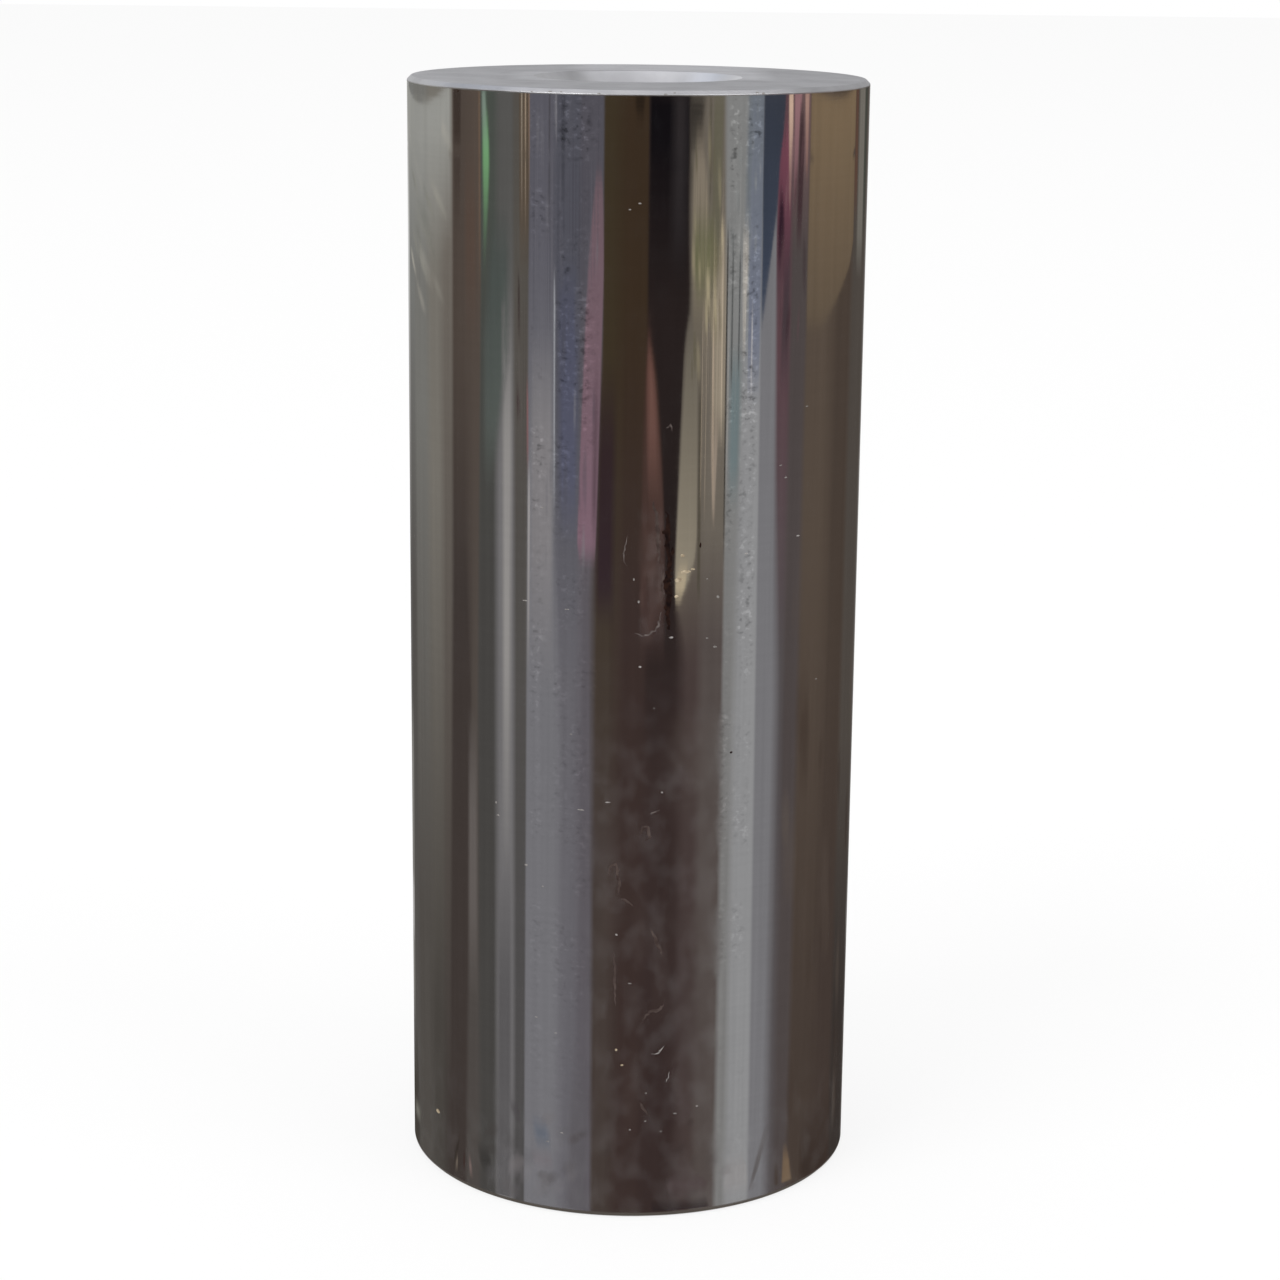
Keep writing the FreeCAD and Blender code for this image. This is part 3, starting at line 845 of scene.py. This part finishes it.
# Each thing of the room has this many points across. Above the images the wall takes its
# own tone: heights in metres, and how much of the change is done there.
THING_POINTS = 4
WALL_RISE = [(0.09, 0.0), (0.13, 1.0), (WALL_TOP, 1.0)]
WALL_PLACE = 100


def add_room():
    """The things side by side as one backdrop with soft seams. The wall stands on above them."""
    card = Card("room")
    lines = []
    for height in heights_between(IMAGE_TOP, IMAGE_FOOT):
        left, left_soft = LEFT_RIM, 0.0
        line = []
        for _, upper, lower, fade_top, fade_foot, *edge in ROOM.values():
            right, soft = row_at(edge, height)
            share = min(max((fade_top - height) / (fade_top - fade_foot), 0), 1)
            tone = blend(upper, lower, share)
            start, end = left + left_soft / 2, right - soft / 2
            if end < start:
                start = end = (start + end) / 2
            for step in range(THING_POINTS):
                line.append(card.image(blend(start, end, step / (THING_POINTS - 1)), height, tone))
            left, left_soft = right, soft
        lines.append(line)
    walls = [wall for wall, *_ in ROOM.values() for _ in range(THING_POINTS)]
    for height, share in WALL_RISE:
        line = []
        for below, wall in zip(lines[0], walls):
            light = tuple(below[card.light][:3])
            if wall:
                light = blend(light, tuple(light_of(wall, STEEL)), share)
            place = (below[card.place].x, WALL_PLACE + height, 0)
            line.append(card.point((below.co.x, below.co.y, height), light, 1.0, place))
        lines.insert(0, line)
    card.finish(lines)


# Fine upright lines, drawn at random: layer, left and right angle, top and foot of the whole
# fringe in mm, how many lines, darkest and lightest tone.
FRINGES = dict(
    straw=(4, (15.8, 21.7), (92, 60), 16, ((96, 88, 76), (196, 178, 156))),
    silver_slats=(4, (22.6, 27.6), (97, 68), 12, ((96, 98, 98), (150, 150, 148))),
    slate_cloth=(2, (-25.6, -19.4), (97, 70), 12, ((76, 75, 82), (112, 110, 116))),
    slate_cloth_right=(2, (-19, -8.8), (97, 80), 14, ((68, 66, 74), (92, 90, 98))),
    sack_threads=(4, (12.8, 17.4), (97, 78), 8, ((80, 76, 66), (134, 126, 112))),
    post_threads=(2, (-30.2, -26), (84, 60), 7, ((70, 64, 62), (112, 104, 100))),
)
FRINGE_FADE, NEAR_TOP = 3, 96
# Ranges of the draws: a line's place and half width in its slot, where it starts and ends, its cover.
LINE_PLACE, LINE_HALF, LINE_COVER = (0.35, 0.65), (0.12, 0.35), (0.5, 1)
LINE_START, LINE_END = (0, 0.35), (0, 0.5)


def add_fringe(name, layer, sides, ends, count, tones):
    """A card of fine upright lines with random tones, widths and ends."""
    card = Card(name, layer)
    (left, right), (top, foot) = sides, ends
    slot = (right - left) / count
    for number in range(count):
        middle = left + slot * (number + random.uniform(*LINE_PLACE))
        half = slot * random.uniform(*LINE_HALF)
        start = top - (top - foot) * random.uniform(*LINE_START)
        end = foot + (start - foot) * random.uniform(*LINE_END)
        tone = blend(*tones, random.random())
        cover = random.uniform(*LINE_COVER)
        lines = []
        for height in heights_between(start, end):
            upper_fade = (start - height) / FRINGE_FADE + (start > NEAR_TOP)
            fade = min(1, upper_fade, (height - end) / FRINGE_FADE)
            across = ((middle - half, 0), (middle, cover * fade), (middle + half, 0))
            lines.append([card.image(angle, height, tone, part) for angle, part in across])
        card.join(lines)
    card.finish()


# Soft uneven blots, drawn at random: layer, left and right angle, top and foot of their area in
# mm, how many, half width in degrees, half height in mm and lean in degrees per mm, darkest and
# lightest tone, strongest cover.
BLOTS = dict(
    brown_clouds=(6, (-5, 21), (44, 5), 22, (3, 5, 0), ((44, 33, 31), (80, 68, 64)), 0.5),
    oval_clouds=(6, (1.6, 7), (62.5, 53), 12, (1.4, 2, 0), ((56, 42, 40), (104, 86, 80)), 0.6),
    cream_clouds=(6, (13.4, 20.6), (94, 74), 24, (0.6, 2.2, -0.12), ((70, 66, 48), (196, 182, 150)), 0.8),
    rim_smears=(3, (-77, -53), (95, 78), 26, (2.2, 2, -2.4), ((98, 100, 92), (192, 186, 174)), 0.6),
    slate_clouds=(4, (-25, -9), (96, 56), 24, (0.7, 3, 0), ((60, 60, 68), (130, 128, 132)), 0.6),
    silver_clouds=(5, (22.8, 30.4), (96.5, 84), 34, (0.6, 0.8, 0), ((96, 100, 100), (172, 172, 170)), 0.6),
    slate_foot=(4, (-40, -11), (8, 1), 14, (2.5, 1.2, 0.6), ((84, 82, 84), (124, 120, 122)), 0.5),
    foot_clouds=(6, (-48, 34), (9, 1), 30, (2.4, 0.9, 1), ((52, 46, 44), (116, 110, 110)), 0.4),
    right_clouds=(3, (42, 78), (60, 3), 20, (3, 5, 0), ((50, 38, 32), (100, 90, 82)), 0.4),
    rim_right_clouds=(3, (80, 85), (90, 3), 16, (1.2, 3.5, 0), ((88, 84, 82), (162, 158, 154)), 0.6),
    plum_clouds=(5, (36.4, 44), (94, 76), 16, (0.6, 2.2, 0.1), ((40, 26, 32), (150, 116, 118)), 0.7),
)
BLOT_CORNERS = 12
BLOT_RINGS = [(0.5, 0.7), (1.0, 0.0)]
BLOT_DEPTH = 0.5
BLOT_COVER, BLOT_GROWTH, BLOT_REACH = (0.4, 1), (0.5, 1.2), (0.75, 1.2)


def add_blots(name, layer, sides, ends, count, size, tones, strongest):
    """A card of soft blots with random places, sizes and tones."""
    card = Card(name, layer)
    (left, right), (top, foot), (wide, tall, lean) = sides, ends, size
    for number in range(count):
        angle, height = random.uniform(left, right), random.uniform(foot, top)
        tone = blend(*tones, random.random())
        cover = strongest * random.uniform(*BLOT_COVER)
        grow = random.uniform(*BLOT_GROWTH)
        deeper = BLOT_DEPTH * number / count
        middle = card.image(angle, held(height), tone, cover, deeper)
        rings = []
        for share, part in BLOT_RINGS:
            ring = []
            for turn in turns(BLOT_CORNERS):
                reach = grow * share * random.uniform(*BLOT_REACH)
                up = tall * reach * math.sin(turn)
                across = angle + wide * reach * math.cos(turn) + lean * up
                ring.append(card.image(across, held(height + up), tone, cover * part, deeper))
            rings.append(ring + ring[:1])
        card.join(rings)
        for pair in zip(rings[0], rings[0][1:]):
            card.mesh.faces.new((middle, *pair))
    card.finish()


def held(height):
    """A height kept on the pin."""
    return min(max(height, IMAGE_FOOT), IMAGE_TOP)


# Patches of sky and ceiling: angle from straight behind the pin, positive to the right, from
# and to, then elevation from and to, then the light they give.
SKY = dict(
    skylight=(-180, 180, 58, 90, (0.8, 0.8, 0.83)),
    sky_window=(-80, -12, 24, 58, (0.56, 0.6, 0.68)),
    ceiling_beam=(-12, 80, 24, 58, (0.46, 0.46, 0.47)),
    front_sky=(150, 270, 38, 58, (0.7, 0.7, 0.72)),
    side_sky=(90, 150, 38, 58, (0.5, 0.5, 0.51)),
)
SKY_DISTANCE = 2.0
SKY_ROWS, SKY_DEGREES = 6, 8


def add_sky(name, start, end, low, high, light):
    """A piece of a dome that only reflections see."""
    card = Card(name)
    columns = max(2, round((end - start) / SKY_DEGREES))
    lines = []
    for row in range(SKY_ROWS + 1):
        rise = math.radians(blend(high, low, row / SKY_ROWS))
        flat, up = SKY_DISTANCE * math.cos(rise), SKY_DISTANCE * math.sin(rise)
        line = []
        for column in range(columns + 1):
            turn = math.radians(blend(start, end, column / columns))
            line.append(card.point((flat * math.sin(turn), flat * math.cos(turn), up), light))
        lines.append(line)
    card.finish(lines)


# The card's faint streaks: noise scale per degree, per mm and per layer, and their strength.
STREAKS = (0.8, 0.03, 3.3)
STREAK_LIGHT = (0.95, 1.05)


def add_card_material():
    """Light of the card's own tone with faint upright streaks, clear where its cover is 0."""
    tree = Tree(bpy.data.materials.new(CARD_MATERIAL))
    tree.nodes.clear()
    tree.node("OutputMaterial", name="Material Output")
    tone = tree.node("Attribute", attribute_name="tone").outputs
    place = tree.node("Attribute", attribute_name="picture_place").outputs["Vector"]
    strength = tree.remap(tree.noise(STREAKS, 4, place=place), *NOISE, *STREAK_LIGHT)
    glow = tree.node("Emission", {"Color": tone["Color"], "Strength": strength})
    tree.show("Material Output", tone["Alpha"], tree.node("BsdfTransparent"), glow)


# Stage

FLOOR_SIZE = 6.0
FLOOR_COLOUR = (0.86, 0.86, 0.86)
FLOOR_EVEN = 0.8
WORLD_LIGHT = 0.9
BENCH_TONE = (80, 74, 68)
PALE_WALL = (130, 130, 133)
TENT_RADIUS, TENT_SEGMENTS = RING_RADIUS + 0.05, 96
TENT_RINGS = [
    (BENCH_HEIGHT / 2, BENCH_TONE), (0.03, BENCH_TONE), (0.2, PALE_WALL), (WALL_TOP, PALE_WALL),
]

# Lamps: place, side and power.
LAMPS = dict(
    key_lamp=((-0.9, -0.9, 1.5), 0.9, 12),
    fill_lamp=((1.1, -0.7, 1.3), 0.9, 6),
)


def add_tent():
    """A plain bench top and wall behind all the cards, for the angles between them."""
    card = Card("tent")
    rings = []
    for height, tone in TENT_RINGS:
        ring = []
        for turn in turns(TENT_SEGMENTS):
            where = (TENT_RADIUS * math.cos(turn), TENT_RADIUS * math.sin(turn), height)
            ring.append(card.point(where, light_of(tone, STEEL)))
        rings.append(ring + ring[:1])
    card.mesh.faces.new(rings[0][:-1])
    card.finish(rings)


def seen_plainly(tree):
    """1 for rays from the camera, a mirror or glass, and 0 for the light that falls on things."""
    rays = tree.node("LightPath").outputs
    seen = tree.sum("MAXIMUM", rays["Is Camera Ray"], rays["Is Glossy Ray"])
    return tree.sum("MAXIMUM", seen, rays["Is Transmission Ray"])


def add_floor():
    """A pale floor that renders white and keeps part of the pin's soft shadow."""
    mesh = bmesh.new()
    bmesh.ops.create_grid(mesh, x_segments=1, y_segments=1, size=FLOOR_SIZE / 2)
    material, tree = new_material("pale_floor", FLOOR_COLOUR, 0.0)
    tree.shade({"Roughness": 1.0, "Specular IOR Level": 0.0})
    even = tree.times(seen_plainly(tree), FLOOR_EVEN)
    tree.show("Material Output", even, tree.nodes["Principled BSDF"], tree.node("Emission"))
    floor = new_object("floor", mesh, material)


def add_world():
    """White where it is seen, and a plain even light on things."""
    world = bpy.data.worlds.new("room")
    bpy.context.scene.world = world
    tree = Tree(world)
    lighting = tree.nodes["Background"]
    lighting.inputs["Color"].default_value = WHITE
    lighting.inputs["Strength"].default_value = WORLD_LIGHT
    seen = tree.node("Background", {"Color": WHITE})
    tree.show("World Output", seen_plainly(tree), lighting, seen)


def add_lamp(name, place, size, power):
    """A soft square lamp aimed at the middle of the pin."""
    data = bpy.data.lights.new(name, "AREA")
    data.shape, data.size, data.energy = "SQUARE", size, power
    lamp = bpy.data.objects.new(name, data)
    lamp.location = place
    aim = Vector((0, 0, PIN_LENGTH / 2)) - Vector(place)
    lamp.rotation_euler = aim.to_track_quat("-Z", "Y").to_euler()
    bpy.context.scene.collection.objects.link(lamp)


def main():
    bpy.context.scene.view_settings.view_transform = "Standard"
    add_camera()
    marks = (mark_finish(*looks) for looks in MARKS.values())
    pin = add_pin([ground_finish(), turned_finish(), bored_finish(), *marks])
    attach(pin, "root")
    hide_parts(PIN_NODE)
    add_card_material()
    add_room()
    for name, values in DETAILS.items():
        add_card(name, *values)
    random.seed(CARDS_SEED)
    for add, table in ((add_fringe, FRINGES), (add_blots, BLOTS), (add_sky, SKY)):
        for name, values in table.items():
            add(name, *values)
    add_tent()
    add_floor()
    add_world()
    for name, values in LAMPS.items():
        add_lamp(name, *values)


main()
